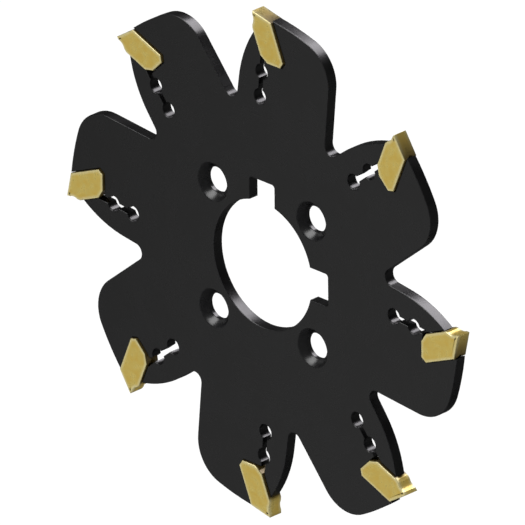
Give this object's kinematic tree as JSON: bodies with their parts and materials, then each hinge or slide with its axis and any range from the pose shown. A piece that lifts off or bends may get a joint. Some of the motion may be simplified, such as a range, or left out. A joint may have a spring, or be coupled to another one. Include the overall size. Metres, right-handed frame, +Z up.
{
  "type": "disc slotting cutter",
  "caption": "Thin disc milling cutter with a keyed bore; each lobe of its rim grips a replaceable carbide insert that cuts a narrow slot.",
  "frame": {"origin": "centre of the bore at half the disc's thickness", "axes": "+Y along the bore's axis from the front face, where the countersinks open, to the back face; +Z up through one keyway, +X through the other"},
  "size_m": [0.16, 0.005, 0.16],
  "materials": {
    "black_steel": "hardened alloy steel, ground and black oxide finished, semi-matt",
    "coated_carbide": "sintered tungsten carbide with a gold titanium nitride coating, satin"
  },
  "bodies": {
    "disc": {"cutter_body": "black_steel"},
    "insert_1": {"insert_1": "coated_carbide"},
    "insert_2": {"insert_2": "coated_carbide"},
    "insert_3": {"insert_3": "coated_carbide"},
    "insert_4": {"insert_4": "coated_carbide"},
    "insert_5": {"insert_5": "coated_carbide"},
    "insert_6": {"insert_6": "coated_carbide"},
    "insert_7": {"insert_7": "coated_carbide"},
    "insert_8": {"insert_8": "coated_carbide"}
  },
  "joints": [
    {"name": "insert_1_slide", "type": "slide", "parent": "disc", "child": "insert_1", "axis": [-0.3827, 0, 0.9239], "range_m": [0, 0.013]},
    {"name": "insert_2_slide", "type": "slide", "parent": "disc", "child": "insert_2", "axis": [0.3827, 0, 0.9239], "range_m": [0, 0.013]},
    {"name": "insert_3_slide", "type": "slide", "parent": "disc", "child": "insert_3", "axis": [0.9239, 0, 0.3827], "range_m": [0, 0.013]},
    {"name": "insert_4_slide", "type": "slide", "parent": "disc", "child": "insert_4", "axis": [0.9239, 0, -0.3827], "range_m": [0, 0.013]},
    {"name": "insert_5_slide", "type": "slide", "parent": "disc", "child": "insert_5", "axis": [0.3827, 0, -0.9239], "range_m": [0, 0.013]},
    {"name": "insert_6_slide", "type": "slide", "parent": "disc", "child": "insert_6", "axis": [-0.3827, 0, -0.9239], "range_m": [0, 0.013]},
    {"name": "insert_7_slide", "type": "slide", "parent": "disc", "child": "insert_7", "axis": [-0.9239, 0, -0.3827], "range_m": [0, 0.013]},
    {"name": "insert_8_slide", "type": "slide", "parent": "disc", "child": "insert_8", "axis": [-0.9239, 0, 0.3827], "range_m": [0, 0.013]}
  ]
}
